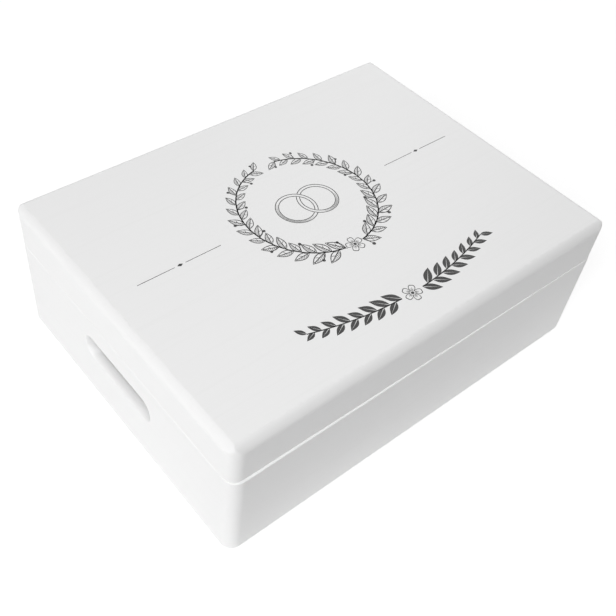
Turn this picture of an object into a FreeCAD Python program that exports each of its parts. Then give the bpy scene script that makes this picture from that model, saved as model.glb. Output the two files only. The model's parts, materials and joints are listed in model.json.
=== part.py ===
"""Hinged keepsake box of painted pine, with a hand hole in each end.

The origin is the centre of the underside. X runs from hand hole to hand hole, the front is on the
-Y side, the hinges are on the +Y side and Z points up. Lengths are millimetres, angles degrees.

The box is made the way a joiner makes one: four planks meet in box fingers, a board closes the top
and the bottom, all outer edges are rounded over, and then one saw cut parts the lid from the base.
The front of the lid is then planed back a little, so the base shows a narrow ledge under it.
"""
import FreeCAD
import Part
import Sketcher
import os

# Driving dimensions: name, number and what it measures
DIMENSIONS = [
    ("box_width", 400, "outside, from hand hole to hand hole"),
    ("box_depth", 300, "outside, from front to back"),
    ("box_height", 138, "outside, closed"),
    ("lid_height", 40, "from the middle of the saw cut to the top"),
    ("lid_set_back", 1.2, "front of the lid behind the front of the base"),
    ("seam_gap", 0.5, "height of the saw cut"),
    ("wall", 12, "thickness of the four planks"),
    ("panel", 8, "thickness of the top and bottom boards"),
    ("corner_radius", 11, "upright outer corners"),
    ("edge_round", 7, "roundover of the top and bottom edges"),
    ("rim_ease", 0.4, "sanded outer arris each side of the saw cut"),
    ("finger_count", 10, "box fingers at each corner, both planks together"),
    ("hand_hole_length", 93, "clear length between the roundovers"),
    ("hand_hole_height", 23.5, "clear height between the roundovers"),
    ("hand_hole_drop", 33.5, "from the middle of the saw cut down to its centre"),
    ("hand_hole_round", 1.5, "roundover of both mouths"),
    ("open_angle", 98, "how far the lid opens, in degrees"),
    ("stop_allowance", 1, "angle left between the two stop bevels when open"),
    ("hinge_length", 40, "length of the leaves"),
    ("hinge_inset", 80, "from the end of the box to the middle of a hinge"),
    ("pin_inset", 3.2, "pin axis in from the back of the box"),
    ("pin_radius", 1, "hinge pin"),
    ("pin_clearance", 0.05, "radial, between the pin and the knuckles"),
    ("pin_head_radius", 1.5, "peened end of the pin"),
    ("pin_head_length", 0.6, "peened end of the pin"),
    ("barrel_radius", 2.3, "outside of the knuckles"),
    ("knuckle_count", 5, "of both leaves together"),
    ("knuckle_gap", 0.2, "between one knuckle and the next"),
    ("leaf_thickness", 1.2, "hinge leaf"),
    ("recess_clearance", 0.3, "round the barrel and at the ends of a leaf"),
    ("screw_count", 3, "in each leaf"),
    ("screw_spacing", 13, "from screw to screw"),
    ("screw_length", 12, "under and with the head"),
    ("screw_radius", 1.1, "shank"),
    ("screw_head_radius", 1.9, "countersunk head"),
    ("screw_tip_length", 2.5, "gimlet point"),
    ("screw_slot_width", 0.6, "one arm of the cross recess"),
    ("screw_slot_length", 2.4, "one arm of the cross recess, end to end"),
    ("screw_slot_depth", 0.7, "cross recess"),
    ("screw_clearance", 0.05, "radial, round a screw in its leaf and its pilot hole"),
    ("overrun", 5, "how far a cutting shape runs past what it cuts"),
]

os.makedirs("parts", exist_ok=True)
doc = FreeCAD.newDocument("keepsake_box")
sheet = doc.addObject("Spreadsheet::Sheet", "Sizes")
for row, (alias, number, note) in enumerate(DIMENSIONS, start=1):
    sheet.set(f"A{row}", alias)
    sheet.set(f"B{row}", str(number))
    sheet.setAlias(f"B{row}", alias)
    sheet.set(f"C{row}", note)
doc.recompute()

# Two places closer than this are the same place
SAME = 0.01

# Places that several pieces share
LEFT = "-Sizes.box_width / 2"
FRONT = "-Sizes.box_depth / 2"
LID_FRONT = f"({FRONT} + Sizes.lid_set_back)"
SEAM = "(Sizes.box_height - Sizes.lid_height)"
HALF_GAP = "(Sizes.seam_gap / 2)"
PLANK_HEIGHT = "(Sizes.box_height - 2 * Sizes.panel)"
HAND_HOLE_LEVEL = f"({SEAM} - Sizes.hand_hole_drop)"
PIN_Y = "(Sizes.box_depth / 2 - Sizes.pin_inset)"
BEVEL_ANGLE = "((Sizes.open_angle + Sizes.stop_allowance) / 2 * 1 deg)"
KNUCKLE_STEP = "((Sizes.hinge_length + Sizes.knuckle_gap) / Sizes.knuckle_count)"
# In from the pin axis: the inner face of the wall, and the edge of the leaf beside the barrel
WALL_REACH = "(Sizes.wall - Sizes.pin_inset)"
BARREL_REACH = "(Sizes.barrel_radius + Sizes.recess_clearance)"
SCREW_REACH = f"(({WALL_REACH} + {BARREL_REACH}) / 2)"
FIRST_SCREW = "(-(Sizes.screw_count - 1) / 2 * Sizes.screw_spacing)"


def value(expression):
    """The number that an expression on the sheet gives."""
    return float(sheet.evalExpression(expression))


def bind(thing, **expressions):
    """Tie properties of a document object to expressions on the sheet."""
    for name, expression in expressions.items():
        thing.setExpression(name, expression)


def place(thing, x="0", y="0", z="0", rotation=None):
    """Give an object its Placement: a fixed rotation and a bound position."""
    thing.Placement = FreeCAD.Placement(FreeCAD.Vector(), rotation or FreeCAD.Rotation())
    for axis, expression in zip("xyz", (x, y, z)):
        if expression != "0":
            thing.setExpression(f"Placement.Base.{axis}", expression)


def block(name, size, corner):
    """A box from its length, width and height and its lowest corner."""
    thing = doc.addObject("Part::Box", name)
    bind(thing, Length=size[0], Width=size[1], Height=size[2])
    place(thing, *corner)
    return thing


def cylinder(name, radius, height, start, rotation=None):
    """A cylinder that grows from start along Z, or along the rotated Z."""
    thing = doc.addObject("Part::Cylinder", name)
    bind(thing, Radius=radius, Height=height)
    place(thing, *start, rotation=rotation)
    return thing


def cut(name, whole, taken):
    """What is left of one shape without another."""
    thing = doc.addObject("Part::Cut", name)
    thing.Base = whole
    thing.Tool = taken
    thing.Refine = True
    return thing


def common(name, first, second):
    """What two shapes share."""
    thing = doc.addObject("Part::Common", name)
    thing.Base = first
    thing.Tool = second
    thing.Refine = True
    return thing


def union(name, shapes):
    """Several shapes as one."""
    thing = doc.addObject("Part::MultiFuse", name)
    thing.Shapes = shapes
    return thing


def sketch_on(body, name, role, x="0", y="0", z="0"):
    """A sketch on one of the body's origin planes, moved by an offset in the plane's own axes."""
    plane = next(item for item in body.Origin.OriginFeatures if item.Role == role)
    sketch = body.newObject("Sketcher::SketchObject", name)
    sketch.AttachmentSupport = [(plane, "")]
    sketch.MapMode = "FlatFace"
    for axis, expression in zip("xyz", (x, y, z)):
        if expression != "0":
            sketch.setExpression(f"AttachmentOffset.Base.{axis}", expression)
    return sketch


def tie(sketch, kind, expression, *elements):
    """Add a dimension to a sketch and bind it to the sheet."""
    index = sketch.addConstraint(Sketcher.Constraint(kind, *elements, value(expression)))
    sketch.setExpression(f"Constraints[{index}]", expression)


def tie_point(sketch, geometry, position, x, y):
    """Fix a point of a sketch at two expressions, measured from the sketch's origin."""
    for kind, expression, zero_axis in (("DistanceX", x, -2), ("DistanceY", y, -1)):
        if expression == "0":
            sketch.addConstraint(Sketcher.Constraint("PointOnObject", geometry, position, zero_axis))
        else:
            tie(sketch, kind, expression, -1, 1, geometry, position)


def draw_polygon(sketch, corners):
    """A closed outline of straight lines through corners given as pairs of expressions."""
    spots = [FreeCAD.Vector(value(x), value(y), 0) for x, y in corners]
    for start, end in zip(spots, spots[1:] + spots[:1]):
        sketch.addGeometry(Part.LineSegment(start, end), False)
    for line in range(len(corners)):
        sketch.addConstraint(Sketcher.Constraint("Coincident", line, 2, (line + 1) % len(corners), 1))
    for line, (x, y) in enumerate(corners):
        tie_point(sketch, line, 1, x, y)


def draw_rectangle(sketch, low, high):
    """A rectangle from its lowest and highest corners."""
    draw_polygon(sketch, [low, (high[0], low[1]), high, (low[0], high[1])])


def draw_circle(sketch, radius):
    """A circle about the sketch's origin."""
    circle = sketch.addGeometry(Part.Circle(FreeCAD.Vector(), FreeCAD.Vector(0, 0, 1), value(radius)), False)
    sketch.addConstraint(Sketcher.Constraint("Coincident", circle, 3, -1, 1))
    tie(sketch, "Radius", radius, circle)


def draw_slot(sketch, length, height, level):
    """A slot with round ends, centred on the sketch's vertical axis at a level."""
    reach = f"(({length} - {height}) / 2)"
    radius = f"({height} / 2)"
    half = FreeCAD.Vector(value(reach), 0, 0)
    rise = FreeCAD.Vector(0, value(radius), 0)
    middle = FreeCAD.Vector(0, value(level), 0)
    side = FreeCAD.Vector(value(radius), 0, 0)
    right = Part.Arc(middle + half - rise, middle + half + side, middle + half + rise)
    left = Part.Arc(middle - half + rise, middle - half - side, middle - half - rise)
    sketch.addGeometry(right, False)
    sketch.addGeometry(Part.LineSegment(middle + half + rise, middle - half + rise), False)
    sketch.addGeometry(left, False)
    sketch.addGeometry(Part.LineSegment(middle - half - rise, middle + half - rise), False)
    for first, second in ((0, 1), (1, 2), (2, 3), (3, 0)):
        sketch.addConstraint(Sketcher.Constraint("Tangent", first, 2, second, 1))
    tie_point(sketch, 0, 3, reach, level)
    tie_point(sketch, 2, 3, f"-{reach}", level)
    tie(sketch, "Radius", radius, 0)


def pad(body, sketch, length, symmetric=False, backwards=False):
    """Extrude a sketch."""
    feature = body.newObject("PartDesign::Pad", f"{sketch.Name}_pad")
    feature.Profile = sketch
    feature.SideType = "Symmetric" if symmetric else "One side"
    feature.Reversed = backwards
    bind(feature, Length=length)
    return feature


def pocket_through(body, sketch):
    """Cut a sketch right through the body, both ways."""
    feature = body.newObject("PartDesign::Pocket", f"{sketch.Name}_pocket")
    feature.Profile = sketch
    feature.Type = "ThroughAll"
    feature.Midplane = True
    return feature


def turn(body, sketch, kind, axis):
    """Revolve or groove a sketch a full turn about one of its axes."""
    feature = body.newObject(f"PartDesign::{kind}", f"{sketch.Name}_turned")
    feature.Profile = sketch
    feature.ReferenceAxis = (sketch, [axis])
    feature.Angle = 360
    return feature


def repeat_along_x(body, name, originals, count, spacing):
    """Repeat features along X, count times, spacing apart."""
    axis = next(item for item in body.Origin.OriginFeatures if item.Role == "X_Axis")
    pattern = body.newObject("PartDesign::LinearPattern", name)
    pattern.Originals = originals
    pattern.Direction = (axis, [""])
    pattern.Mode = "Spacing"
    bind(pattern, Offset=spacing, Occurrences=count)
    body.Tip = pattern
    return pattern


def edges_where(feature, wanted):
    """Names of the edges of a feature that a test on the edge picks."""
    doc.recompute()
    return [f"Edge{index}" for index, edge in enumerate(feature.Shape.Edges, start=1) if wanted(edge)]


def soften(body, feature, names, size):
    """Fillet named edges of a feature by a bound radius."""
    dressed = body.newObject("PartDesign::Fillet", f"{body.Name}_fillet")
    dressed.Base = (feature, names)
    bind(dressed, Radius=size)
    return dressed


def lies_at_level(edge, level):
    """True for an edge that lies flat at a height."""
    return edge.BoundBox.ZLength < SAME and abs(edge.BoundBox.ZMin - level) < SAME


def rounded_form(name, front, foot, height, low_round, high_round):
    """The outside of the base or of the lid: a block with its outer edges rounded over."""
    body = doc.addObject("PartDesign::Body", name)
    outline = sketch_on(body, f"{name}_outline", "XY_Plane")
    draw_rectangle(outline, (LEFT, front), ("Sizes.box_width / 2", "Sizes.box_depth / 2"))
    feature = pad(body, outline, height)
    upright = edges_where(feature, lambda edge: edge.BoundBox.ZLength > SAME)
    feature = soften(body, feature, upright, "Sizes.corner_radius")
    low = edges_where(feature, lambda edge: lies_at_level(edge, 0))
    feature = soften(body, feature, low, low_round)
    high = edges_where(feature, lambda edge: lies_at_level(edge, value(height)))
    soften(body, feature, high, high_round)
    place(body, z=foot)
    return body


def make_planks():
    """The four planks before sawing, keyed by side, with their box fingers cut."""
    wide = ("Sizes.box_width", "Sizes.wall", PLANK_HEIGHT)
    deep = ("Sizes.wall", "Sizes.box_depth", PLANK_HEIGHT)
    right = "Sizes.box_width / 2 - Sizes.wall"
    back = "Sizes.box_depth / 2 - Sizes.wall"
    blanks = {
        "front": block("front_blank", wide, (LEFT, FRONT, "Sizes.panel")),
        "back": block("back_blank", wide, (LEFT, back, "Sizes.panel")),
        "left": block("left_blank", deep, (LEFT, FRONT, "Sizes.panel")),
        "right": block("right_blank", deep, (right, FRONT, "Sizes.panel")),
    }
    finger = f"({PLANK_HEIGHT} / Sizes.finger_count)"
    levels = []
    for level in range(0, int(value("Sizes.finger_count")), 2):
        corner = (LEFT, FRONT, f"Sizes.panel + {level} * {finger}")
        levels.append(block(f"finger_level_{level}", ("Sizes.box_width", "Sizes.box_depth", finger), corner))
    finger_levels = union("finger_levels", levels)
    planks = {}
    for side in ("front", "back"):
        ends = union(f"{side}_corner_ends", [blanks["left"], blanks["right"]])
        fingers = common(f"{side}_end_fingers", ends, finger_levels)
        planks[side] = cut(f"{side}_plank", blanks[side], fingers)
    for side in ("left", "right"):
        walls = union(f"{side}_corner_walls", [planks["front"], planks["back"]])
        planks[side] = cut(f"{side}_plank", blanks[side], walls)
    return planks


def make_stop_groove():
    """The V groove behind the pin axis, whose two bevels stop the open lid."""
    body = doc.addObject("PartDesign::Body", "stop_groove")
    outline = sketch_on(body, "stop_groove_outline", "YZ_Plane")
    mouth = "(Sizes.pin_inset + Sizes.overrun)"
    rise = f"{mouth} * tan({BEVEL_ANGLE})"
    draw_polygon(outline, [(PIN_Y, SEAM), (f"{PIN_Y} + {mouth}", f"{SEAM} - {rise}"),
                           (f"{PIN_Y} + {mouth}", f"{SEAM} + {rise}")])
    pad(body, outline, "Sizes.box_width + 2 * Sizes.overrun", symmetric=True)
    return body


def make_hinge_recess(side, middle):
    """What is cut from the rear plank for one hinge: barrel room, leaf beds and pilot holes."""
    along_x = FreeCAD.Rotation(FreeCAD.Vector(0, 1, 0), 90)
    room = "(Sizes.hinge_length + 2 * (Sizes.pin_head_length + Sizes.recess_clearance))"
    room_start = (f"{middle} - {room} / 2", PIN_Y, SEAM)
    barrel = cylinder(f"{side}_barrel_room", BARREL_REACH, room, room_start, along_x)
    bed_length = "(Sizes.hinge_length + 2 * Sizes.recess_clearance)"
    bed_half = f"({HALF_GAP} + Sizes.leaf_thickness)"
    bed = block(f"{side}_leaf_beds", (bed_length, WALL_REACH, f"2 * {bed_half}"),
                (f"{middle} - {bed_length} / 2", f"{PIN_Y} - {WALL_REACH}", f"{SEAM} - {bed_half}"))
    pilot_half = f"({HALF_GAP} + Sizes.screw_length + Sizes.screw_clearance)"
    pilots = []
    for number in range(int(value("Sizes.screw_count"))):
        start = (f"{middle} + {FIRST_SCREW} + {number} * Sizes.screw_spacing",
                 f"{PIN_Y} - {SCREW_REACH}", f"{SEAM} - {pilot_half}")
        pilots.append(cylinder(f"{side}_pilot_{number}", "Sizes.screw_radius + Sizes.screw_clearance",
                               f"2 * {pilot_half}", start))
    return [barrel, bed] + pilots


def cut_hand_hole(name, sawn):
    """An end of the base with its hand hole, both mouths rounded over."""
    body = doc.addObject("PartDesign::Body", name)
    body.BaseFeature = sawn
    outline = sketch_on(body, f"{name}_slot", "YZ_Plane")
    draw_slot(outline, "Sizes.hand_hole_length", "Sizes.hand_hole_height", HAND_HOLE_LEVEL)
    hole = pocket_through(body, outline)
    reach = value("Sizes.hand_hole_length / 2")
    low = value(f"{HAND_HOLE_LEVEL} - Sizes.hand_hole_height / 2")
    high = value(f"{HAND_HOLE_LEVEL} + Sizes.hand_hole_height / 2")

    def on_mouth(edge):
        box = edge.BoundBox
        inside = box.ZMin > low - SAME and box.ZMax < high + SAME
        return inside and box.XLength < SAME and box.YMin > -reach - SAME and box.YMax < reach + SAME

    soften(body, hole, edges_where(hole, on_mouth), "Sizes.hand_hole_round")
    return body


def make_leaf(name, knuckles, first_step):
    """A hinge leaf about the pin axis, as it lies on the base. Its knuckles are every other one."""
    body = doc.addObject("PartDesign::Body", name)
    half_length = "(Sizes.hinge_length / 2)"
    face = f"-{HALF_GAP}"
    plate = sketch_on(body, f"{name}_plate", "XY_Plane", z=face)
    draw_rectangle(plate, (f"-{half_length}", f"-{WALL_REACH}"), (half_length, f"-{BARREL_REACH}"))
    pad(body, plate, "Sizes.leaf_thickness", backwards=True)
    start = f"{first_step} * {KNUCKLE_STEP} - {half_length}"
    knuckle_length = f"{KNUCKLE_STEP} - Sizes.knuckle_gap"
    barrel = sketch_on(body, f"{name}_barrel", "YZ_Plane", z=start)
    draw_circle(barrel, "Sizes.barrel_radius")
    barrel_pad = pad(body, barrel, knuckle_length)
    web = sketch_on(body, f"{name}_web", "YZ_Plane", z=start)
    draw_rectangle(web, (f"-{BARREL_REACH}", f"{face} - Sizes.leaf_thickness"), ("0", face))
    web_pad = pad(body, web, knuckle_length)
    repeat_along_x(body, f"{name}_knuckles", [barrel_pad, web_pad], knuckles, f"2 * {KNUCKLE_STEP}")
    bore = sketch_on(body, f"{name}_bore", "YZ_Plane")
    draw_circle(bore, "Sizes.pin_radius + Sizes.pin_clearance")
    pocket_through(body, bore)
    through = "Sizes.leaf_thickness + Sizes.overrun"
    seat = draw_screw_outline(body, f"{name}_seat", "Sizes.screw_clearance", through)
    seat_groove = turn(body, seat, "Groove", "V_Axis")
    repeat_along_x(body, f"{name}_seats", [seat_groove], "Sizes.screw_count", "Sizes.screw_spacing")
    return body


def draw_screw_outline(body, name, margin, length, tip="0"):
    """Half of the outline of the first screw, or of its seat when margin widens it."""
    sketch = sketch_on(body, name, "XZ_Plane", x=FIRST_SCREW, z=SCREW_REACH)
    top = f"-{HALF_GAP}"
    head = f"(Sizes.screw_head_radius + {margin})"
    shank = f"(Sizes.screw_radius + {margin})"
    draw_polygon(sketch, [("0", top), (head, top), (shank, f"{top} - ({head} - {shank})"),
                          (shank, f"{top} - ({length} - {tip})"), ("0", f"{top} - ({length})")])
    return sketch


def make_screws(name):
    """The wood screws of one leaf, as they stand in the base: countersunk, with a cross recess."""
    body = doc.addObject("PartDesign::Body", name)
    outline = draw_screw_outline(body, f"{name}_outline", "0", "Sizes.screw_length", "Sizes.screw_tip_length")
    shank = turn(body, outline, "Revolution", "V_Axis")
    first = {"x": FIRST_SCREW, "y": f"-{SCREW_REACH}", "z": f"-{HALF_GAP}"}
    recess = sketch_on(body, f"{name}_recess", "XY_Plane", **first)
    arm = "(Sizes.screw_slot_length / 2)"
    half = "(Sizes.screw_slot_width / 2)"
    draw_polygon(recess, [(half, half), (arm, half), (arm, f"-{half}"), (half, f"-{half}"),
                          (half, f"-{arm}"), (f"-{half}", f"-{arm}"), (f"-{half}", f"-{half}"),
                          (f"-{arm}", f"-{half}"), (f"-{arm}", half), (f"-{half}", half),
                          (f"-{half}", arm), (half, arm)])
    socket = body.newObject("PartDesign::Pocket", f"{name}_socket")
    socket.Profile = recess
    bind(socket, Length="Sizes.screw_slot_depth")
    repeat_along_x(body, f"{name}_row", [shank, socket], "Sizes.screw_count", "Sizes.screw_spacing")
    return body


def make_pin(name):
    """A hinge pin along X, peened over at both ends."""
    body = doc.addObject("PartDesign::Body", name)
    outline = sketch_on(body, f"{name}_outline", "XY_Plane")
    half = "(Sizes.hinge_length / 2)"
    end = f"({half} + Sizes.pin_head_length)"
    draw_polygon(outline, [(f"-{end}", "0"), (f"-{end}", "Sizes.pin_head_radius"),
                           (f"-{half}", "Sizes.pin_head_radius"), (f"-{half}", "Sizes.pin_radius"),
                           (half, "Sizes.pin_radius"), (half, "Sizes.pin_head_radius"),
                           (end, "Sizes.pin_head_radius"), (end, "0")])
    turn(body, outline, "Revolution", "H_Axis")
    return body


def make_wood(middles):
    """The ten wooden pieces, keyed by node name."""
    base_height = f"{SEAM} - {HALF_GAP}"
    lid_height = f"Sizes.lid_height - {HALF_GAP}"
    lid_foot = f"{SEAM} + {HALF_GAP}"
    base_form = rounded_form("base_form", FRONT, "0", base_height, "Sizes.edge_round", "Sizes.rim_ease")
    lid_form = rounded_form("lid_form", LID_FRONT, lid_foot, lid_height, "Sizes.rim_ease", "Sizes.edge_round")
    planks = make_planks()
    groove = make_stop_groove()
    recesses = [shape for side, middle in middles.items() for shape in make_hinge_recess(side, middle)]
    grooved = {
        "front": planks["front"],
        "back": cut("back_grooved", planks["back"], union("rear_cutters", [groove] + recesses)),
        "left": cut("left_grooved", planks["left"], groove),
        "right": cut("right_grooved", planks["right"], groove),
    }
    pieces = {}
    for side in ("front", "back"):
        pieces[f"base_{side}_wall"] = common(f"base_{side}_wall", grooved[side], base_form)
    for side in ("left", "right"):
        sawn = common(f"{side}_end_sawn", grooved[side], base_form)
        pieces[f"base_{side}_end"] = cut_hand_hole(f"base_{side}_end", sawn)
    for side, plank in grooved.items():
        pieces[f"lid_{side}_rail"] = common(f"lid_{side}_rail", plank, lid_form)
    board = ("Sizes.box_width", "Sizes.box_depth", "Sizes.panel")
    low_board = block("low_board", board, (LEFT, FRONT, "0"))
    high_board = block("high_board", board, (LEFT, FRONT, "Sizes.box_height - Sizes.panel"))
    pieces["base_bottom_panel"] = common("base_bottom_panel", low_board, base_form)
    pieces["lid_top_panel"] = common("lid_top_panel", high_board, lid_form)
    return pieces


def make_hinge(side, middle):
    """The five pieces of one hinge, keyed by node name, placed on the pin axis."""
    over = FreeCAD.Rotation(FreeCAD.Vector(0, 1, 0), 180)
    base_knuckles = "(Sizes.knuckle_count + 1) / 2"
    lid_knuckles = "(Sizes.knuckle_count - 1) / 2"
    pieces = {
        f"{side}_hinge_base_leaf": (make_leaf(f"{side}_hinge_base_leaf", base_knuckles, "0"), None),
        f"{side}_hinge_lid_leaf": (make_leaf(f"{side}_hinge_lid_leaf", lid_knuckles, "1"), over),
        f"{side}_hinge_pin": (make_pin(f"{side}_hinge_pin"), None),
        f"{side}_hinge_base_screws": (make_screws(f"{side}_hinge_base_screws"), None),
        f"{side}_hinge_lid_screws": (make_screws(f"{side}_hinge_lid_screws"), over),
    }
    for body, rotation in pieces.values():
        place(body, middle, PIN_Y, SEAM, rotation)
    return {name: body for name, (body, _) in pieces.items()}


def check(pieces):
    """Stop if any object failed, or if a piece is empty, broken or not made of solids."""
    doc.recompute()
    for thing in doc.Objects:
        if "Invalid" in thing.State or "Error" in thing.State:
            raise RuntimeError(f"{thing.Name} failed: {thing.State}")
    for name, thing in pieces.items():
        shape = thing.Shape
        if shape.isNull() or not shape.isValid() or not shape.Solids:
            raise RuntimeError(f"{name} is not a valid solid")
        print(f"{name}: {len(shape.Solids)} solid, {shape.Volume / 1000:.2f} cm3")


def main():
    """Build every piece and write each one to its own file."""
    from_middle = "(Sizes.box_width / 2 - Sizes.hinge_inset)"
    hinge_middles = {"left": f"(-{from_middle})", "right": from_middle}
    pieces = make_wood(hinge_middles)
    for side, middle in hinge_middles.items():
        pieces.update(make_hinge(side, middle))
    check(pieces)
    for name, thing in pieces.items():
        thing.Label = name
        thing.Shape.exportStep(f"parts/{name}.step")


main()
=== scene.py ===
"""Looks of a white painted keepsake box with a hinged lid, a line print on it and a hand hole in each end.

Lengths are metres. X runs from hand hole to hand hole, the front faces -Y and Z points up.
"""
import json
import math

import bmesh
import bpy
from mathutils import Matrix, Vector


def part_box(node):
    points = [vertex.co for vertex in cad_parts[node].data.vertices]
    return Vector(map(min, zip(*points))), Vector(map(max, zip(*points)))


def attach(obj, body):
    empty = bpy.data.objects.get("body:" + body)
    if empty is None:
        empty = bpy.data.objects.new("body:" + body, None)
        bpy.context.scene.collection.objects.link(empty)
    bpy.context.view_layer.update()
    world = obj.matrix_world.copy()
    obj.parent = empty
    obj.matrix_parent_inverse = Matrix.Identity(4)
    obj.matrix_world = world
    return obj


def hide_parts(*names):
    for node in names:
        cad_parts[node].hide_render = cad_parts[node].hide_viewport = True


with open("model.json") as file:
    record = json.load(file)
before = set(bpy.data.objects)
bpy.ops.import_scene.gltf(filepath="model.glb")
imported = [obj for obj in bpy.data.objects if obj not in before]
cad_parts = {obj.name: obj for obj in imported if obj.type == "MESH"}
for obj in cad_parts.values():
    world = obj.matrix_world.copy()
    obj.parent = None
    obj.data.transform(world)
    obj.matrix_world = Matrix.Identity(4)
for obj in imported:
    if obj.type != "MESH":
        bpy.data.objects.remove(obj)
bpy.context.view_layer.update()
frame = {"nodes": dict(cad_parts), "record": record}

MM = 0.001

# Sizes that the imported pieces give
LID_LOW, LID_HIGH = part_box("lid_top_panel")
WALL_LOW, WALL_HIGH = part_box("base_front_wall")
RAIL_LOW, RAIL_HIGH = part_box("lid_front_rail")
BOTTOM_LOW, BOTTOM_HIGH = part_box("base_bottom_panel")
PIN_LOW, PIN_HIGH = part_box("right_hinge_pin")
LEAF_LOW, LEAF_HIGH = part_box("right_hinge_base_leaf")
HALF_WIDTH = LID_HIGH.x
HALF_DEPTH = LID_HIGH.y
WALL = WALL_HIGH.y - WALL_LOW.y
LID_TOP = LID_HIGH.z
BASE_RIM = WALL_HIGH.z
LID_RIM = RAIL_LOW.z
PIN_Y = (PIN_LOW.y + PIN_HIGH.y) / 2
PIN_Z = (PIN_LOW.z + PIN_HIGH.z) / 2
HINGE_X = (PIN_LOW.x + PIN_HIGH.x) / 2

# Roundings of the wood
CORNER_RADIUS = 11 * MM
EDGE_ROUND = 7 * MM
EDGE_FULLNESS = 1.6
BASE_RIM_ROUND = 0.8 * MM
LID_RIM_ROUND = 0.4 * MM
INNER_EASE = 0.5 * MM
INNER_CORNER = 0.6 * MM
JOINT_EASE = 0.18 * MM
# The corners of the lid's flat top are nearly pointed: the higher up the roundover, the tighter the corner in plan
TIGHTENING = 2.2
TIGHTEST = 0.5 * MM
# Paint narrows the saw cut by this much from each side
RIM_PAINT = 0.23 * MM

# Front faces at the left end and the right one: the lid sits a trifle askew, so the ledge under it narrows
LID_SKEW = 0.65 * MM
BASE_FRONT = (-HALF_DEPTH, -HALF_DEPTH)
LID_FRONT = (LID_LOW.y + LID_SKEW, LID_LOW.y - LID_SKEW)

# Steps of the curves, and tolerances
CORNER_STEPS = 20
EDGE_STEPS = 12
EASE_STEPS = 5
SHARP_ANGLE = math.radians(32)
FLAT_ANGLE = math.radians(1)
SAME = 0.001 * MM

# Hand holes: the narrowest place, and the flare that widens it towards each face
HOLE_LENGTH = 89.8 * MM
HOLE_HEIGHT = 20.4 * MM
HOLE_LEVEL = 64.2 * MM
HOLE_END_FULLNESS = 2.25
HOLE_STEPS = 16
HOLE_FLARE = 3 * MM
FLARE_DEPTH = 7.2 * MM
FLARE_FULLNESS = 1.8
FLARE_STEPS = 10

# Room cut in the rear rims for the hinges, and the bevels behind the pins, a trifle more than half the lid's travel
STOP_ANGLE = math.radians(49.5)
BARREL_ROOM = 2.6 * MM
LEAF_ROOM = 1.45 * MM
END_ROOM = 0.3 * MM
OVERRUN = 5 * MM
BARREL_STEPS = 40

# The print: a wreath round two rings, a rule each side and a garland below
INK_TOP = LID_TOP + 0.06 * MM
INK_FILM = 0.1 * MM
HATCH_LINE = 0.38 * MM
RULE_LINE = 0.5 * MM
DRAWN_LINE = 0.7 * MM
STEM_LINE = 1.0 * MM
STEM_TIP = 0.35
STEM_STEPS = 60
DOT_STEPS = 14
# A leaf's or petal's outline thins out to this share of its width
OUTLINE_TIP = 0.6
WREATH_CENTRE = (0, 14 * MM)
WREATH_RADIUS = 60 * MM
WREATH_START = math.radians(9)
WREATH_END = math.radians(169)
WREATH_LEAVES = 28
WREATH_LEAF = (16 * MM, 11.5 * MM)
WREATH_LEAN = math.radians(40)
# A berry at every third leaf
WREATH_BERRIES = 10
WREATH_BERRY = (10.5 * MM, 8 * MM)
BERRY_LEAN = math.radians(72)
GARLAND_REACH = 94 * MM
GARLAND_START = 0.12
GARLAND_LEVEL = -112 * MM
GARLAND_RISE = 15 * MM
GARLAND_LEAVES = 15
GARLAND_LEAF = (16 * MM, 10.5 * MM)
GARLAND_LEAN = math.radians(38)
# The least and the most that a leaf's size and lean are multiplied by
LEAF_SWAY = (0.92, 1.1)
# Linked rings, and the arcs of the shading lines inside their bands, in degrees
RING_RADIUS = 18 * MM
RING_WIDTH = 2.8 * MM
RING_OFFSET = 11.5 * MM
RING_STEPS = 240
LEFT_SHADE = (130, 290)
RIGHT_SHADE = (250, 350)
SHADE_PLACES = (0.35, 0.65)
SHADE_TIP = 0.1
SHADE_STEPS = 40
RULE_START = 90 * MM
RULE_END = 168 * MM
RULE_GAP = 5 * MM
LOZENGE_HALF_WIDTH = 2.6 * MM
LOZENGE_FLATNESS = 0.6

# A leaf, in shares of its length: a swell under one puts its widest place nearer the root
LEAF_HALF_WIDTH = 0.21
LEAF_SWELL = 0.85
LEAF_STEPS = 14
LEAF_PLACES = [i / LEAF_STEPS for i in range(LEAF_STEPS + 1)]
LEAF_STALK = 0.1
MIDRIB_TIP = 0.5
BARE_MIDRIB = 0.018
# Its veins: how many on each half, where they start, and how far they run along the leaf and towards its edge
CLOSE_VEINS = 7
SPARSE_VEINS = 3
VEIN_START = 0.12
VEIN_SPAN = 0.66
VEIN_RUN = 0.14
VEIN_REACH = 0.82
VEIN_BEND = 0.6
VEIN_TIP = 0.5

# A berry, in shares of its length with the stalk
STALK_PLACES = (0, 0.2, 0.4, 0.6, 0.8)
STALK_BEND = 0.12
STALK_END = 0.9
BERRY_CENTRE = 0.88
BERRY_RADIUS = 0.14

# A blossom, in shares of its radius. A vein is a turn away from the petal's middle and the reach of its tip
BLOSSOM_RADIUS = 8.5 * MM
PETALS = 5
PETAL_STEPS = 24
PETAL_ROOT = 0.24
PETAL_LENGTH = 0.76
PETAL_ROUNDNESS = 0.5
PETAL_NOTCH = 0.07
NOTCH_SHARPNESS = 12
PETAL_SPREAD = 0.94
PETAL_VEINS = ((-0.22, 0.55), (0, 0.66), (0.22, 0.55))
PETAL_VEIN_START = 0.26
PETAL_VEIN_TIP = 0.4
BLOSSOM_EYE = 0.17

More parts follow.
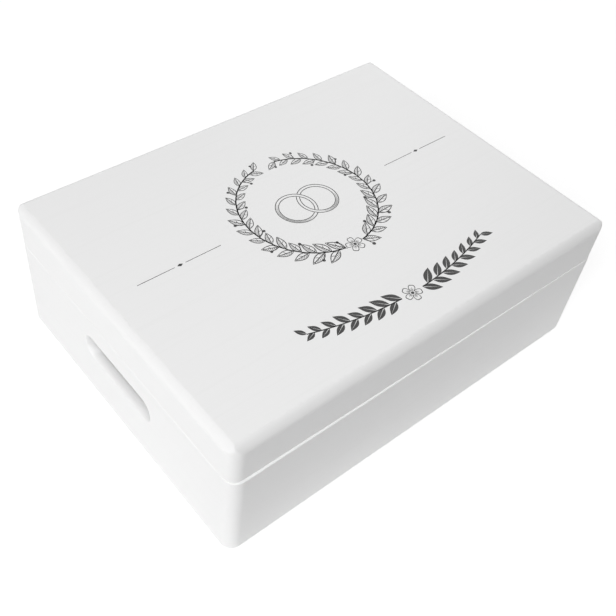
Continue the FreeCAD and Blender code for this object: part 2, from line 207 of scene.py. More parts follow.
# Streaks in the finishes, as length and width. Pine's growth rings lie 2 to 3 mm apart, and a brush leaves marks
# about half a millimetre wide
PINE_GRAIN = (160 * MM, 2.4 * MM)
BRUSH_MARKS = (45 * MM, 0.55 * MM)
PAINT_PEEL = (1.5 * MM, 1.5 * MM)
DRAW_MARKS = (6 * MM, 0.12 * MM)
ZINC_CLOUDS = (3 * MM, 3 * MM)
# Real dots are 0.05 mm apart; these are 0.4 mm, the least that shows
INK_DOTS = (0.4 * MM, 0.4 * MM)
# Heights of the painted ridges in millimetres, and the share of a face's normal along X that makes it an end
GRAIN_HEIGHT = 0.030
BRUSH_HEIGHT = 0.012
PEEL_HEIGHT = 0.006
END_FACING = 0.72
FINE_RELIEF = 0.01 * MM

# The photograph's camera, worked out from the edges of the box
PHOTO_SIZE = 616
CAMERA_PLACE = Vector((-398.3, -384.2, 617.6)) * MM
CAMERA_AIM = Vector((-100.0, -61.2, 138.0)) * MM
CAMERA_ROLL = math.radians(5.67)
FOCAL_PIXELS = 873.6
CENTRE_X_PIXEL = 270.0
CENTRE_Y_PIXEL = 308.0
SENSOR = 36

# Light. Each lamp: bearing from the front round by the right, height above the horizon, distance, width and power
SKY = 0.29
KEY_LAMP = (math.radians(295), math.radians(44), 2.6, 1.1, 41.7)
FILL_LAMP = (math.radians(130), math.radians(30), 4.0, 1.5, 43.1)

# The floor: its glow where the lamps reach it, how far out it rises to full white, and how far in front of the box
# the light that it throws back starts to fade and stops fading
FLOOR_SIZE = 12
FLOOR_LIFT = 0.64
FAR_START = 0.8
FAR_END = 1.5
POOL_START = 0.02
POOL_END = 0.40


def linear(code):
    """An sRGB hex colour as linear red, green, blue and alpha."""
    parts = [int(code[i:i + 2], 16) / 255 for i in (1, 3, 5)]
    return [p / 12.92 if p <= 0.04045 else ((p + 0.055) / 1.055) ** 2.4 for p in parts] + [1]


def add_node(tree, kind, inputs=None, **settings):
    """Add a node. Settings are its properties; inputs, by name or number, are values, output sockets or nodes.

    A node that is given as an input stands for its first output.
    """
    node = tree.nodes.new(kind)
    for name, setting in settings.items():
        setattr(node, name, setting)
    for key, given in (inputs or {}).items():
        if isinstance(given, bpy.types.Node):
            given = given.outputs[0]
        if isinstance(given, bpy.types.NodeSocket):
            tree.links.new(given, node.inputs[key])
        else:
            node.inputs[key].default_value = given
    return node


def add_object(name, data):
    """A new object in the scene."""
    thing = bpy.data.objects.new(name, data)
    bpy.context.scene.collection.objects.link(thing)
    return thing


def place_camera():
    """The camera of the photograph, with the shift that its framing needs."""
    data = bpy.data.cameras.new("photo_camera")
    camera = add_object("photo_camera", data)
    view = (CAMERA_AIM - CAMERA_PLACE).to_track_quat("-Z", "Y").to_matrix().to_4x4()
    camera.matrix_world = Matrix.Translation(CAMERA_PLACE) @ view @ Matrix.Rotation(CAMERA_ROLL, 4, "Z")
    data.sensor_width = SENSOR
    data.lens = FOCAL_PIXELS / PHOTO_SIZE * SENSOR
    data.shift_x = (PHOTO_SIZE / 2 - CENTRE_X_PIXEL) / PHOTO_SIZE
    data.shift_y = (CENTRE_Y_PIXEL - PHOTO_SIZE / 2) / PHOTO_SIZE
    bpy.context.scene.camera = camera


# Meshes

def mesh_object(name, shape):
    """A new object that holds a bmesh, with its normals pointing out."""
    bmesh.ops.recalc_face_normals(shape, faces=shape.faces)
    mesh = bpy.data.meshes.new(name)
    shape.to_mesh(mesh)
    shape.free()
    return add_object(name, mesh)


def loft(name, rings, closed=False):
    """Skin a list of rings with as many points each. A closed loft meets itself, an open one gets flat ends."""
    shape = bmesh.new()
    rows = [[shape.verts.new(point) for point in ring] for ring in rings]
    if closed:
        pairs = zip(rows, rows[1:] + rows[:1])
    else:
        pairs = zip(rows, rows[1:])
        shape.faces.new(reversed(rows[0]))
        shape.faces.new(rows[-1])
    for low, high in pairs:
        for i in range(len(low)):
            j = (i + 1) % len(low)
            shape.faces.new((low[i], low[j], high[j], high[i]))
    return mesh_object(name, shape)


def rounded_outline(inset, radius, z, front):
    """The outline of the box taken in by an inset, with round corners, from its front at each end to the back."""
    points = []
    reach = inset + radius
    left, right, far = front[0] + reach, front[1] + reach, HALF_DEPTH - reach
    for quarter, (side, y) in enumerate(((1, right), (1, far), (-1, far), (-1, left))):
        centre = Vector((side * (HALF_WIDTH - reach), y, z))
        for step in range(CORNER_STEPS + 1):
            angle = math.pi / 2 * (quarter - 1 + step / CORNER_STEPS)
            points.append(centre + Vector((math.cos(angle), math.sin(angle), 0)) * radius)
    return points


def quarter_round(radius, steps, fullness=2.0):
    """Pairs (in, up) along a quarter round, from the foot of the upright face to the flat one.

    A fullness of 2 is a circle's, and less gives the flatter slope of an edge sanded by hand.
    """
    for step in range(steps + 1):
        angle = math.pi / 2 * step / steps
        across, up = (max(part, 0) ** (2 / fullness) for part in (math.cos(angle), math.sin(angle)))
        yield radius * (1 - across), radius * up


def make_panel(name, joint_z, outer_z, front, pointed=False):
    """A board that closes the box, its outer edge rounded over, with a fine eased line at its joint."""
    up = 1 if outer_z > joint_z else -1
    profile = [(JOINT_EASE, joint_z), (0, joint_z + up * JOINT_EASE)]
    start = outer_z - up * EDGE_ROUND
    profile += [(inset, start + up * rise)
                for inset, rise in quarter_round(EDGE_ROUND, EDGE_STEPS, EDGE_FULLNESS)]
    rings = []
    for inset, z in profile:
        corner = CORNER_RADIUS - inset
        if pointed:
            corner = max(TIGHTEST, CORNER_RADIUS * (1 - inset / EDGE_ROUND) ** TIGHTENING)
        rings.append(rounded_outline(inset, corner, z, front))
    return loft(name, rings)


def make_carcass(name, joint_z, rim_z, rim_round, front):
    """The four planks of the base or the lid as one painted frame, its outer rim rounded and its inner one eased."""
    up = 1 if rim_z > joint_z else -1
    rim_z += up * RIM_PAINT
    outer = [(JOINT_EASE, joint_z), (0, joint_z + up * JOINT_EASE)]
    start = rim_z - up * rim_round
    outer += [(inset, start + up * rise) for inset, rise in quarter_round(rim_round, EASE_STEPS)]
    rings = [rounded_outline(inset, CORNER_RADIUS - inset, z, front) for inset, z in outer]
    inner = [(WALL - inset, rim_z - up * (INNER_EASE - rise))
             for inset, rise in quarter_round(INNER_EASE, EASE_STEPS)]
    inner = inner[::-1] + [(WALL, joint_z)]
    rings += [rounded_outline(inset, INNER_CORNER + WALL - inset, z, BASE_FRONT) for inset, z in inner]
    return loft(name, rings, closed=True)


def make_bar(name, outline, start, end):
    """A straight bar along X with an outline of (y, z) pairs."""
    return loft(name, [[Vector((x, y, z)) for y, z in outline] for x in (start, end)])


def hole_outline(out):
    """(y, z) pairs round a hand hole widened by out, whose round ends are a little squarer than a circle."""
    length, height = HOLE_LENGTH + 2 * out, HOLE_HEIGHT + 2 * out
    pairs = []
    for side in (1, -1):
        for step in range(HOLE_STEPS + 1):
            angle = math.pi * (step / HOLE_STEPS - 0.5)
            along, up = (math.copysign(abs(part) ** (2 / HOLE_END_FULLNESS), part)
                         for part in (math.cos(angle), math.sin(angle)))
            pairs.append((side * ((length - height) / 2 + height / 2 * along),
                          HOLE_LEVEL + side * height / 2 * up))
    return pairs


def hole_cutter():
    """A slot through both ends, whose walls flare towards each face like an edge sanded by hand."""
    flare = [(depth, HOLE_FLARE * (1 - rise))
             for depth, rise in quarter_round(1, FLARE_STEPS, FLARE_FULLNESS)]
    inward = [(-HALF_WIDTH - OVERRUN, HOLE_FLARE)]
    inward += [(FLARE_DEPTH * depth - HALF_WIDTH, out) for depth, out in flare]
    inward += [(WALL - (WALL - FLARE_DEPTH) * depth - HALF_WIDTH, out) for depth, out in reversed(flare[:-1])]
    outward = [(-x, out) for x, out in reversed(inward)]
    return loft("hand_holes", [[Vector((x, y, z)) for y, z in hole_outline(out)] for x, out in inward + outward])


def hinge_cutters():
    """The V groove behind the pins, and the barrel room and leaf beds of both hinges."""
    mouth = HALF_DEPTH - PIN_Y + OVERRUN
    rise = mouth * math.tan(STOP_ANGLE)
    groove = [(PIN_Y, PIN_Z), (PIN_Y + mouth, PIN_Z - rise), (PIN_Y + mouth, PIN_Z + rise)]
    end = HALF_WIDTH + OVERRUN
    cutters = [make_bar("stop_groove", groove, -end, end)]
    turns = [2 * math.pi * step / BARREL_STEPS for step in range(BARREL_STEPS)]
    barrel = [(PIN_Y + BARREL_ROOM * math.cos(t), PIN_Z + BARREL_ROOM * math.sin(t)) for t in turns]
    front = HALF_DEPTH - WALL - OVERRUN
    bed = [(front, PIN_Z - LEAF_ROOM), (PIN_Y, PIN_Z - LEAF_ROOM),
           (PIN_Y, PIN_Z + LEAF_ROOM), (front, PIN_Z + LEAF_ROOM)]
    barrel_half = (PIN_HIGH.x - PIN_LOW.x) / 2 + END_ROOM
    bed_half = (LEAF_HIGH.x - LEAF_LOW.x) / 2 + END_ROOM
    for side, middle in (("left", -HINGE_X), ("right", HINGE_X)):
        cutters.append(make_bar(f"{side}_barrel_room", barrel, middle - barrel_half, middle + barrel_half))
        cutters.append(make_bar(f"{side}_leaf_beds", bed, middle - bed_half, middle + bed_half))
    return cutters


def plain_mesh(thing):
    """Apply an object's modifiers for good."""
    evaluated = thing.evaluated_get(bpy.context.evaluated_depsgraph_get())
    mesh = bpy.data.meshes.new_from_object(evaluated)
    thing.modifiers.clear()
    thing.data = mesh


def cut_away(thing, cutters):
    """Cut shapes out of an object."""
    for cutter in cutters:
        cut = thing.modifiers.new("cut", "BOOLEAN")
        cut.operation = "DIFFERENCE"
        cut.solver = "EXACT"
        cut.object = cutter
    bpy.context.view_layer.update()
    plain_mesh(thing)


def smooth(thing):
    """Smooth round faces, keep arrises crisp and flat faces flat."""
    shape = bmesh.new()
    shape.from_mesh(thing.data)
    bmesh.ops.remove_doubles(shape, verts=shape.verts, dist=SAME)
    for face in shape.faces:
        face.smooth = True
    for edge in shape.edges:
        edge.smooth = edge.calc_face_angle(0) < SHARP_ANGLE
    shape.to_mesh(thing.data)
    shape.free()
    normals = thing.modifiers.new("normals", "WEIGHTED_NORMAL")
    normals.keep_sharp = True
    bpy.context.view_layer.update()
    plain_mesh(thing)


def finish_piece(thing, body, material, slot, *nodes):
    """Give a piece its material and the body that it rides on, and hide the pieces that it stands for. The slot is
    not used.
    """
    thing.data.materials.clear()
    thing.data.materials.append(material)
    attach(thing, body)
    if nodes:
        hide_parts(*nodes)


# The print

def ribbon(shape, points, widths):
    """Add a flat stroke along points (x, y), with a width at each of them."""
    sides = []
    for i, (x, y) in enumerate(points):
        before, after = points[max(i - 1, 0)], points[min(i + 1, len(points) - 1)]
        if points[0] == points[-1] and i in (0, len(points) - 1):
            before, after = points[-2], points[1]
        along = Vector((after[0] - before[0], after[1] - before[1])).normalized()
        half = widths[i] / 2
        sides.append([shape.verts.new((x - along.y * half * side, y + along.x * half * side, INK_TOP))
                      for side in (-1, 1)])
    for (a, b), (c, d) in zip(sides, sides[1:]):
        shape.faces.new((a, c, d, b))


def tapered(width, count, tip):
    """Stroke widths that swell from a thin start, a share of the whole width, to the middle and thin out again."""
    return [width * (tip + (1 - tip) * math.sin(math.pi * i / (count - 1))) for i in range(count)]


def disc(shape, centre, radius):
    """Add a filled round dot."""
    turns = [2 * math.pi * i / DOT_STEPS for i in range(DOT_STEPS)]
    shape.faces.new([shape.verts.new((centre[0] + radius * math.cos(t), centre[1] + radius * math.sin(t), INK_TOP))
                     for t in turns])


def motif(name, shape):
    """A drawing of length one along X as an object for the vine to set out."""
    for vertex in shape.verts:
        vertex.co.z = 0
    mesh = bpy.data.meshes.new(name)
    shape.to_mesh(mesh)
    shape.free()
    return add_object(name, mesh)


def leaf_half(t):
    """Half the width of a leaf of length one, at a place along it."""
    return LEAF_HALF_WIDTH * math.sin(math.pi * t ** LEAF_SWELL)


def drawn_leaf():
    """A leaf in outline with its midrib, hatched closely on one half and sparsely on the other."""
    shape = bmesh.new()
    size = sum(WREATH_LEAF) / 2
    hatch = HATCH_LINE / size
    for side, veins in ((1, CLOSE_VEINS), (-1, SPARSE_VEINS)):
        edge = [(t, side * leaf_half(t)) for t in LEAF_PLACES]
        ribbon(shape, edge, tapered(DRAWN_LINE / size, len(edge), OUTLINE_TIP))
        for vein in range(veins):
            root = VEIN_START + VEIN_SPAN * vein / (veins - 1)
            tip = root + VEIN_RUN
            reach = VEIN_REACH * leaf_half(tip)
            ribbon(shape, [(root, 0), ((root + tip) / 2, side * reach * VEIN_BEND), (tip, side * reach)],
                   [hatch, hatch, hatch * VEIN_TIP])
    rib = [(t - LEAF_STALK, 0) for t in LEAF_PLACES]
    ribbon(shape, rib, tapered(DRAWN_LINE / size, len(rib), MIDRIB_TIP))
    return motif("drawn_leaf", shape)


def filled_leaf():
    """A solid leaf parted by a bare midrib."""
    shape = bmesh.new()
    for side in (-1, 1):
        rows = [[shape.verts.new((t, side * y, 0)) for y in (BARE_MIDRIB * (1 - t), leaf_half(t))]
                for t in LEAF_PLACES]
        for (a, b), (c, d) in zip(rows[:-1], rows[1:]):
            shape.faces.new((a, c, d, b) if side > 0 else (a, b, d, c))
    return motif("filled_leaf", shape)


def berry():
    """A berry on a bent stalk."""
    shape = bmesh.new()
    stalk = [(t, STALK_BEND * t * (STALK_END - t)) for t in STALK_PLACES]
    ribbon(shape, stalk, [RULE_LINE / WREATH_BERRY[0]] * len(stalk))
    disc(shape, (BERRY_CENTRE, 0), BERRY_RADIUS)
    return motif("berry", shape)


def stem_object(name, points):
    """A curve through points on top of the lid, for leaves to grow on."""
    curve = bpy.data.curves.new(name, "CURVE")
    curve.dimensions = "3D"
    spline = curve.splines.new("POLY")
    spline.points.add(len(points) - 1)
    for point, (x, y) in zip(spline.points, points):
        point.co = (x, y, INK_TOP, 1)
    return add_object(name, curve)


def vine_tree():
    """Geometry nodes that set leaves in turn on both sides of a stem and draw the stem as a thin ribbon."""
    tree = bpy.data.node_groups.new("vine", "GeometryNodeTree")
    tree.interface.new_socket("Geometry", in_out="OUTPUT", socket_type="NodeSocketGeometry")
    for name, kind in (("Geometry", "Geometry"), ("Leaf", "Object"), ("Leaves", "Int"), ("Root Size", "Float"),
                       ("Tip Size", "Float"), ("Lean", "Float"), ("Stem Width", "Float"), ("Seed", "Int"),
                       ("Material", "Material")):
        tree.interface.new_socket(name, in_out="INPUT", socket_type=f"NodeSocket{kind}")
    given = tree.nodes.new("NodeGroupInput").outputs
    # Places along the stem, turned to its heading and then out to the left and to the right in turn
    place = add_node(tree, "GeometryNodeCurveToPoints", {"Curve": given["Geometry"], "Count": given["Leaves"]},
                     mode="COUNT")
    tangent = add_node(tree, "ShaderNodeSeparateXYZ", {0: place.outputs["Tangent"]}).outputs
    heading = add_node(tree, "ShaderNodeMath", {0: tangent["Y"], 1: tangent["X"]}, operation="ARCTAN2")
    index = add_node(tree, "GeometryNodeInputIndex")
    parity = add_node(tree, "ShaderNodeMath", {0: index, 1: 2.0}, operation="MODULO")
    side = add_node(tree, "ShaderNodeMath", {0: parity, 1: 2.0, 2: -1.0}, operation="MULTIPLY_ADD")
    sway = add_node(tree, "FunctionNodeRandomValue",
                    {2: LEAF_SWAY[0], 3: LEAF_SWAY[1], "Seed": given["Seed"]}).outputs[1]
    lean = add_node(tree, "ShaderNodeMath", {0: side, 1: given["Lean"]}, operation="MULTIPLY")
    lean = add_node(tree, "ShaderNodeMath", {0: lean, 1: sway}, operation="MULTIPLY")
    angle = add_node(tree, "ShaderNodeMath", {0: heading, 1: lean}, operation="ADD")
    turn = add_node(tree, "ShaderNodeCombineXYZ", {"Z": angle})
    # Leaves that shrink from the root to the tip
    along = add_node(tree, "ShaderNodeMath", {0: index, 1: given["Leaves"]}, operation="DIVIDE")
    size = add_node(tree, "ShaderNodeMapRange",
                    {"Value": along, "To Min": given["Root Size"], "To Max": given["Tip Size"]})
    size = add_node(tree, "ShaderNodeMath", {0: size, 1: sway}, operation="MULTIPLY")
    leaf = add_node(tree, "GeometryNodeObjectInfo", {"Object": given["Leaf"]}).outputs["Geometry"]
    leaves = add_node(tree, "GeometryNodeInstanceOnPoints",
                      {"Points": place.outputs["Points"], "Instance": leaf, "Rotation": turn, "Scale": size})
    # The stem, a flat strip that thins towards its tip
    factor = add_node(tree, "GeometryNodeSplineParameter").outputs["Factor"]
    taper = add_node(tree, "ShaderNodeMapRange", {"Value": factor, "To Min": 1.0, "To Max": STEM_TIP})
    half = add_node(tree, "ShaderNodeMath", {0: given["Stem Width"], 1: 0.5}, operation="MULTIPLY")
    other_half = add_node(tree, "ShaderNodeMath", {0: half, 1: -1.0}, operation="MULTIPLY")
    start = add_node(tree, "ShaderNodeCombineXYZ", {"X": other_half})
    end = add_node(tree, "ShaderNodeCombineXYZ", {"X": half})
    across = add_node(tree, "GeometryNodeCurvePrimitiveLine", {"Start": start, "End": end})
    level = add_node(tree, "GeometryNodeSetCurveNormal", {"Curve": given["Geometry"]}, mode="Z_UP")
    slim = add_node(tree, "GeometryNodeSetCurveRadius", {"Curve": level, "Radius": taper})
    stem = add_node(tree, "GeometryNodeCurveToMesh", {"Curve": slim, "Profile Curve": across})
    both = add_node(tree, "GeometryNodeJoinGeometry", {0: leaves})
    tree.links.new(stem.outputs[0], both.inputs[0])
    solid = add_node(tree, "GeometryNodeRealizeInstances", {0: both})
    inked = add_node(tree, "GeometryNodeSetMaterial", {"Geometry": solid, "Material": given["Material"]})
    add_node(tree, "NodeGroupOutput", {"Geometry": inked})
    return tree


def grow(stem, tree, **sizes):
    """Run the vine tree on a stem and return the plain mesh."""
    vine = stem.modifiers.new("vine", "NODES")
    vine.node_group = tree
    for item in tree.interface.items_tree:
        key = item.name.lower().replace(" ", "_")
        if item.in_out == "INPUT" and key in sizes:
            vine[item.identifier] = sizes[key]
    bpy.context.view_layer.update()
    mesh = bpy.data.meshes.new_from_object(stem.evaluated_get(bpy.context.evaluated_depsgraph_get()))
    bpy.data.objects.remove(stem)
    return mesh


def ring_runs(centre, other, over_top):
    """The visible runs of a plain ring's two edges where it is linked with another ring."""
    runs = []
    for radius in (RING_RADIUS, RING_RADIUS - RING_WIDTH):
        run = []
        for step in range(RING_STEPS + 1):
            angle = 2 * math.pi * step / RING_STEPS
            point = (centre[0] + radius * math.cos(angle), centre[1] + radius * math.sin(angle))
            reach = math.dist(point, other)
            crossing = RING_RADIUS - RING_WIDTH - DRAWN_LINE / 2 < reach < RING_RADIUS + DRAWN_LINE / 2
            if crossing and (point[1] > centre[1]) != over_top:
                runs.append(run)
                run = []
            else:
                run.append(point)
        runs.append(run)
    return [run for run in runs if len(run) > 2]


def draw_rings(shape):
    """Two plain linked rings, with fine shading lines inside the lower left of each band."""
    x, y = WREATH_CENTRE
    left, right = (x - RING_OFFSET, y), (x + RING_OFFSET, y)
    for run in ring_runs(left, right, True) + ring_runs(right, left, False):
        ribbon(shape, run, [DRAWN_LINE] * len(run))
    for centre, (start, end) in ((left, LEFT_SHADE), (right, RIGHT_SHADE)):
        arc = [math.radians(start + (end - start) * i / SHADE_STEPS) for i in range(SHADE_STEPS + 1)]
        for share in SHADE_PLACES:
            radius = RING_RADIUS - RING_WIDTH * share
            ribbon(shape, [(centre[0] + radius * math.cos(t), centre[1] + radius * math.sin(t)) for t in arc],
                   tapered(HATCH_LINE, len(arc), SHADE_TIP))


def draw_rules(shape):
    """A fine rule each side of the wreath, parted by a lozenge."""
    y = WREATH_CENTRE[1]
    middle = (RULE_START + RULE_END) / 2
    half_height = LOZENGE_HALF_WIDTH * LOZENGE_FLATNESS
    for side in (-1, 1):
        for start, end in ((RULE_START, middle - RULE_GAP), (middle + RULE_GAP, RULE_END)):
            ribbon(shape, [(side * start, y), (side * end, y)], [RULE_LINE] * 2)
        corners = [(0, half_height), (-LOZENGE_HALF_WIDTH, 0), (0, -half_height), (LOZENGE_HALF_WIDTH, 0)]
        shape.faces.new([shape.verts.new((side * middle + a, y + b, INK_TOP)) for a, b in corners])


def draw_blossom(shape, centre, turn=0.0):
    """A blossom in outline, with veined petals and a filled eye."""
    for petal in range(PETALS):
        middle = turn + math.pi / 2 + 2 * math.pi * petal / PETALS
        outline = []
        for step in range(PETAL_STEPS + 1):
            t = step / PETAL_STEPS
            swell = math.sin(math.pi * t)
            reach = BLOSSOM_RADIUS * (PETAL_ROOT + PETAL_LENGTH * swell ** PETAL_ROUNDNESS
                                      - PETAL_NOTCH * swell ** NOTCH_SHARPNESS)
            angle = middle + (t - 0.5) * 2 * math.pi / PETALS * PETAL_SPREAD
            outline.append((centre[0] + reach * math.cos(angle), centre[1] + reach * math.sin(angle)))
        ribbon(shape, outline, tapered(DRAWN_LINE, len(outline), OUTLINE_TIP))
        for spread, tip in PETAL_VEINS:
            angle = middle + spread
            reaches = [BLOSSOM_RADIUS * r for r in (PETAL_VEIN_START, (PETAL_VEIN_START + tip) / 2, tip)]
            ribbon(shape, [(centre[0] + reach * math.cos(angle), centre[1] + reach * math.sin(angle))
                           for reach in reaches], [HATCH_LINE, HATCH_LINE, HATCH_LINE * PETAL_VEIN_TIP])
    disc(shape, centre, BLOSSOM_RADIUS * BLOSSOM_EYE)


def line_work():
    """Rings, rules and blossoms in one mesh."""
    shape = bmesh.new()
    draw_rings(shape)
    draw_rules(shape)
    x, y = WREATH_CENTRE
    draw_blossom(shape, (x, y - WREATH_RADIUS))
    draw_blossom(shape, (0, GARLAND_LEVEL), math.pi / PETALS)
    for face in shape.faces:
        face.normal_update()
        if face.normal.z < 0:
            face.normal_flip()
    mesh = bpy.data.meshes.new("line_work")
    shape.to_mesh(mesh)
    shape.free()
    return mesh


def wreath_side(side):
    """Points along one half of the wreath, from its foot to its top."""
    x, y = WREATH_CENTRE
    turns = [side * (WREATH_START + (WREATH_END - WREATH_START) * i / STEM_STEPS) for i in range(STEM_STEPS + 1)]
    return [(x + WREATH_RADIUS * math.sin(t), y - WREATH_RADIUS * math.cos(t)) for t in turns]


def garland_side(side):
    """Points along one half of the garland, from its middle to its end."""
    shares = [GARLAND_START + (1 - GARLAND_START) * i / STEM_STEPS for i in range(STEM_STEPS + 1)]
    return [(side * GARLAND_REACH * t, GARLAND_LEVEL + GARLAND_RISE * t ** 2) for t in shares]


def make_print(ink):
    """The whole print as one thin film of ink on the lid."""
    leaf, solid_leaf, fruit = drawn_leaf(), filled_leaf(), berry()
    tree = vine_tree()
    meshes = [line_work()]
    for seed, side in enumerate((-1, 1)):
        wreath, garland = wreath_side(side), garland_side(side)
        for name, points, drawing, count, sizes, lean, draw in (
                ("wreath_leaves", wreath, leaf, WREATH_LEAVES, WREATH_LEAF, WREATH_LEAN, seed),
                ("wreath_berries", wreath, fruit, WREATH_BERRIES, WREATH_BERRY, BERRY_LEAN, seed + 2),
                ("garland_leaves", garland, solid_leaf, GARLAND_LEAVES, GARLAND_LEAF, GARLAND_LEAN, seed + 4)):
            meshes.append(grow(stem_object(name, points), tree, leaf=drawing, leaves=count, root_size=sizes[0],
                               tip_size=sizes[1], lean=lean, stem_width=STEM_LINE, seed=draw, material=ink))
    shape = bmesh.new()
    for mesh in meshes:
        shape.from_mesh(mesh)
    film = bmesh.ops.extrude_face_region(shape, geom=shape.faces[:])
    lowered = [item for item in film["geom"] if isinstance(item, bmesh.types.BMVert)]
    bmesh.ops.translate(shape, verts=lowered, vec=(0, 0, -INK_FILM))
    printed = mesh_object("lid_print", shape)
    for drawing in (leaf, solid_leaf, fruit):
        bpy.data.objects.remove(drawing)
    finish_piece(printed, "lid", ink, "lid_print")


# Materials

def new_material(name):
    """An empty node material with a Principled shader, as (material, tree, shader)."""
    material = bpy.data.materials.new(name)
    material.use_nodes = True
    tree = material.node_tree
    return material, tree, tree.nodes["Principled BSDF"]


def noise_along(tree, place, streak, detail=2.0, shift=0.0):
    """Noise drawn out into streaks of a length along X and a width across, as an output socket."""
    length, width = streak
    spot = add_node(tree, "ShaderNodeMapping", {"Vector": place, "Scale": (1 / length, 1 / width, 1 / width),
                                                "Location": (shift, shift, shift)})
    return add_node(tree, "ShaderNodeTexNoise", {"Vector": spot, "Scale": 1.0, "Detail": detail}).outputs["Fac"]


def painted_pine():
    """White water-based paint brushed over sanded pine: the grain shows only as faint long ridges."""
    material, tree, shader = new_material("white_paint_brushed_on_pine")
    place = add_node(tree, "ShaderNodeTexCoord").outputs["Object"]
    # On the two ends the planks run along Y, so the pattern is turned there
    facing = add_node(tree, "ShaderNodeNewGeometry").outputs["Normal"]
    across = add_node(tree, "ShaderNodeSeparateXYZ", {0: facing}).outputs["X"]
    squareness = add_node(tree, "ShaderNodeMath", {0: across}, operation="ABSOLUTE")
    on_end = add_node(tree, "ShaderNodeMath", {0: squareness, 1: END_FACING}, operation="GREATER_THAN")
    turned = add_node(tree, "ShaderNodeMapping", {"Vector": place, "Rotation": (0, 0, math.pi / 2)})
    along = add_node(tree, "ShaderNodeMix", {0: on_end, 4: place, 5: turned}, data_type="VECTOR").outputs[1]
    grain = noise_along(tree, along, PINE_GRAIN, detail=3.0)
    brush = noise_along(tree, along, BRUSH_MARKS, shift=3.7)
    peel = noise_along(tree, along, PAINT_PEEL, detail=1.0, shift=9.1)
    height = add_node(tree, "ShaderNodeMath", {0: grain, 1: GRAIN_HEIGHT}, operation="MULTIPLY")
    height = add_node(tree, "ShaderNodeMath", {0: brush, 1: BRUSH_HEIGHT, 2: height}, operation="MULTIPLY_ADD")
    height = add_node(tree, "ShaderNodeMath", {0: peel, 1: PEEL_HEIGHT, 2: height}, operation="MULTIPLY_ADD")
    bump = add_node(tree, "ShaderNodeBump", {"Height": height, "Distance": MM, "Strength": 0.6})
    tree.links.new(bump.outputs[0], shader.inputs["Normal"])
    # Thin paint over the ridges lets a trace of the wood through
    trace = add_node(tree, "ShaderNodeMapRange", {"Value": grain, "From Min": 0.55, "From Max": 0.8,
                                                  "To Min": 0.0, "To Max": 0.25})
    colour = add_node(tree, "ShaderNodeMix", {0: trace, 6: linear("#F2F2F2"), 7: linear("#E9E9E8")},
                      data_type="RGBA").outputs[2]
    tree.links.new(colour, shader.inputs["Base Color"])
    sheen = add_node(tree, "ShaderNodeMapRange", {"Value": brush, "To Min": 0.5, "To Max": 0.62})
    tree.links.new(sheen.outputs[0], shader.inputs["Roughness"])
    return material


def plated_steel():
    """Pressed mild steel, bright zinc plated: a cool grey metal with fine draw marks along the hinge."""
    material, tree, shader = new_material("pressed_steel_zinc_plated")
    place = add_node(tree, "ShaderNodeTexCoord").outputs["Object"]
    marks = noise_along(tree, place, DRAW_MARKS)
    cloud = noise_along(tree, place, ZINC_CLOUDS, shift=5.3)
    shader.inputs["Metallic"].default_value = 1.0
    colour = add_node(tree, "ShaderNodeMix", {0: cloud, 6: linear("#AEB2B4"), 7: linear("#C9C8C2")},
                      data_type="RGBA").outputs[2]
    tree.links.new(colour, shader.inputs["Base Color"])
    gloss = add_node(tree, "ShaderNodeMapRange", {"Value": marks, "To Min": 0.24, "To Max": 0.42})
    tree.links.new(gloss.outputs[0], shader.inputs["Roughness"])
    bump = add_node(tree, "ShaderNodeBump", {"Height": marks, "Distance": FINE_RELIEF, "Strength": 0.5})
    tree.links.new(bump.outputs[0], shader.inputs["Normal"])
    return material


def printed_ink():
    """Black ink printed straight on the paint: a thin matt film whose dots leave its tone a little uneven."""
    material, tree, shader = new_material("matt_black_printed_ink")
    place = add_node(tree, "ShaderNodeTexCoord").outputs["Object"]
    dots = noise_along(tree, place, INK_DOTS)
    colour = add_node(tree, "ShaderNodeMix", {0: dots, 6: linear("#161616"), 7: linear("#2E2E2E")},
                      data_type="RGBA").outputs[2]
    tree.links.new(colour, shader.inputs["Base Color"])
    shader.inputs["Roughness"].default_value = 0.6
    bump = add_node(tree, "ShaderNodeBump", {"Height": dots, "Distance": FINE_RELIEF, "Strength": 0.4})
    tree.links.new(bump.outputs[0], shader.inputs["Normal"])
    return material


# Stage

def hang_lamp(name, bearing, height, distance, width, power):
    """A square soft box that faces the middle of the floor."""
    data = bpy.data.lights.new(name, "AREA")
    data.size = width
    data.energy = power
    lamp = add_object(name, data)
    level = math.cos(height)
    direction = Vector((level * math.sin(bearing), -level * math.cos(bearing), math.sin(height)))
    turn = direction.to_track_quat("Z", "Y").to_matrix().to_4x4()
    lamp.matrix_world = Matrix.Translation(direction * distance) @ turn


def light_scene():
    """A soft box on the left and a little to the front, a weaker one behind on the right, and an even sky."""
    scene = bpy.context.scene
    scene.view_settings.view_transform = "Standard"
    hang_lamp("key", *KEY_LAMP)
    hang_lamp("fill", *FILL_LAMP)
    world = bpy.data.worlds.new("sky")
    scene.world = world
    world.use_nodes = True
    tree = world.node_tree
    tree.nodes.clear()
    sky = add_node(tree, "ShaderNodeBackground", {"Color": linear("#FFFFFF"), "Strength": SKY})
    white = add_node(tree, "ShaderNodeBackground", {"Color": linear("#FFFFFF"), "Strength": 1.0})
    mix = add_node(tree, "ShaderNodeMixShader", {0: seen_directly(tree), 1: sky, 2: white})
    add_node(tree, "ShaderNodeOutputWorld", {"Surface": mix})


def seen_directly(tree):
    """One where the camera, a mirror or a glass looks, nought for light that bounces."""
    path = add_node(tree, "ShaderNodeLightPath").outputs
    seen = add_node(tree, "ShaderNodeMath", {0: path["Is Camera Ray"], 1: path["Is Glossy Ray"]},
                    operation="MAXIMUM")
    return add_node(tree, "ShaderNodeMath", {0: seen, 1: path["Is Transmission Ray"]}, operation="MAXIMUM")


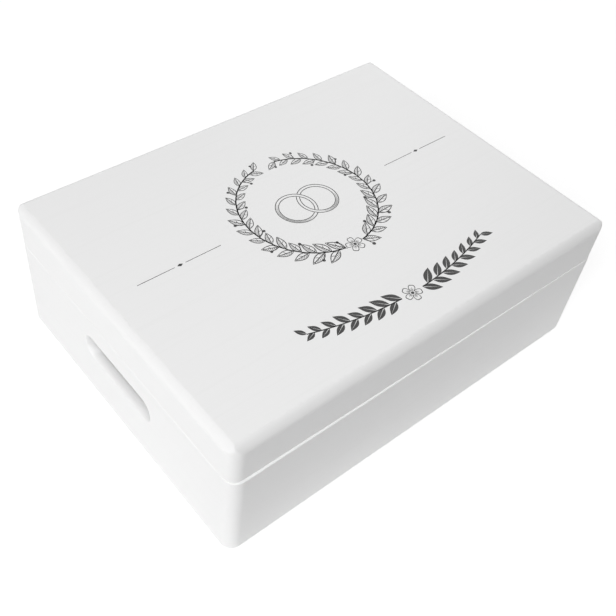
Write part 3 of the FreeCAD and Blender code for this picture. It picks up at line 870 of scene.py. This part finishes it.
def lay_floor():
    """A plain pale floor that looks white and still takes a soft shadow."""
    shape = bmesh.new()
    bmesh.ops.create_grid(shape, x_segments=1, y_segments=1, size=FLOOR_SIZE / 2)
    floor = mesh_object("floor", shape)
    material, tree, shader = new_material("matt_white_card")
    shader.inputs["Roughness"].default_value = 0.9
    shader.inputs["Specular IOR Level"].default_value = 0.1
    shader.inputs["Emission Color"].default_value = linear("#FFFFFF")
    seen = seen_directly(tree)
    place = add_node(tree, "ShaderNodeTexCoord").outputs["Object"]
    # Where the lamps no longer reach, the card makes up for them and stays white
    away = add_node(tree, "ShaderNodeVectorMath", {0: place}, operation="LENGTH").outputs["Value"]
    lift = add_node(tree, "ShaderNodeMapRange", {"Value": away, "From Min": FAR_START, "From Max": FAR_END,
                                                 "To Min": FLOOR_LIFT, "To Max": 1.0})
    glow = add_node(tree, "ShaderNodeMath", {0: seen, 1: lift}, operation="MULTIPLY")
    tree.links.new(glow.outputs[0], shader.inputs["Emission Strength"])
    # The light that the card throws back fades towards the viewer, as off a table's near edge
    depth = add_node(tree, "ShaderNodeSeparateXYZ", {0: place}).outputs["Y"]
    fade = add_node(tree, "ShaderNodeMapRange", {"Value": depth, "From Min": -HALF_DEPTH - POOL_START,
                                                 "From Max": -HALF_DEPTH - POOL_END})
    pool = add_node(tree, "ShaderNodeMix", {0: fade, 6: linear("#FCFCFC"), 7: linear("#8A8A8A")},
                    data_type="RGBA").outputs[2]
    card = add_node(tree, "ShaderNodeMix", {0: seen, 6: pool, 7: linear("#BCBCBC")}, data_type="RGBA").outputs[2]
    tree.links.new(card, shader.inputs["Base Color"])
    floor.data.materials.append(material)


# The box

def make_wood(paint):
    """The base and the lid, each a frame of planks and a board."""
    hinge_rooms = hinge_cutters()
    hole = hole_cutter()
    base = make_carcass("base_carcass", BOTTOM_HIGH.z, BASE_RIM, BASE_RIM_ROUND, BASE_FRONT)
    cut_away(base, hinge_rooms + [hole])
    lid = make_carcass("lid_carcass", RAIL_HIGH.z, LID_RIM, LID_RIM_ROUND, LID_FRONT)
    cut_away(lid, hinge_rooms)
    for cutter in hinge_rooms + [hole]:
        bpy.data.objects.remove(cutter)
    bottom = make_panel("bottom_board", BOTTOM_HIGH.z, BOTTOM_LOW.z, BASE_FRONT)
    top = make_panel("top_board", LID_LOW.z, LID_TOP, LID_FRONT, pointed=True)
    for piece in (base, lid, bottom, top):
        smooth(piece)
    finish_piece(base, "base", paint, "painted_wood",
                 "base_front_wall", "base_back_wall", "base_left_end", "base_right_end")
    finish_piece(lid, "lid", paint, "painted_wood",
                 "lid_front_rail", "lid_back_rail", "lid_left_rail", "lid_right_rail")
    finish_piece(bottom, "base", paint, "painted_wood", "base_bottom_panel")
    finish_piece(top, "lid", paint, "painted_wood", "lid_top_panel")


def make_hinges(steel):
    """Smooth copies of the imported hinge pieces."""
    for body, nodes in frame["record"]["behaviour"]["bodies"].items():
        for node in nodes:
            if "_hinge_" not in node:
                continue
            piece = add_object(f"{node}_plated", frame["nodes"][node].data.copy())
            shape = bmesh.new()
            shape.from_mesh(piece.data)
            bmesh.ops.remove_doubles(shape, verts=shape.verts, dist=SAME)
            bmesh.ops.dissolve_limit(shape, angle_limit=FLAT_ANGLE, verts=shape.verts, edges=shape.edges)
            shape.to_mesh(piece.data)
            shape.free()
            smooth(piece)
            finish_piece(piece, body, steel, "plated_steel", node)


def main():
    """Camera, light, floor, wood, hinges and print."""
    place_camera()
    light_scene()
    lay_floor()
    make_wood(painted_pine())
    make_hinges(plated_steel())
    make_print(printed_ink())


main()
